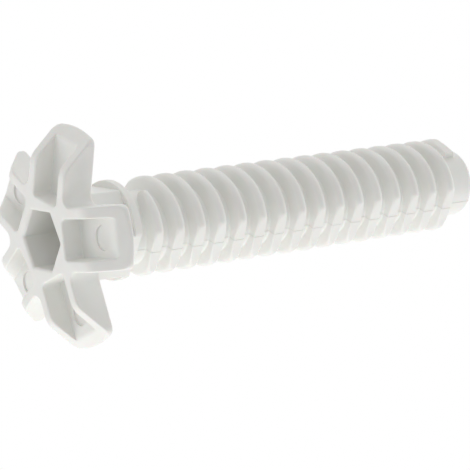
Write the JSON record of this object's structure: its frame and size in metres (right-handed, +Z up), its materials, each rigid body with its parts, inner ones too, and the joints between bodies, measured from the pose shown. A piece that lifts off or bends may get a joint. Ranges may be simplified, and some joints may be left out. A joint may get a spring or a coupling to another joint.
{
  "type": "dishwasher foot",
  "caption": "One-piece plastic screw-in levelling foot: star head with hollow arms round a hexagon socket, hexagon neck and collar, and a long coarse thread with opposite flats and a plain end.",
  "frame": {"origin": "on the thread's axis, in the plane of the star head's underside, which stands on the floor", "axes": "+Z up the thread's axis to the plain end; +X square to one of the two flats along the thread; one arm of the star points along -X"},
  "size_m": [0.0414, 0.0428, 0.1041],
  "materials": {
    "plastic": "satin off-white moulding"
  },
  "bodies": {
    "root": {"foot": "plastic"}
  },
  "joints": []
}
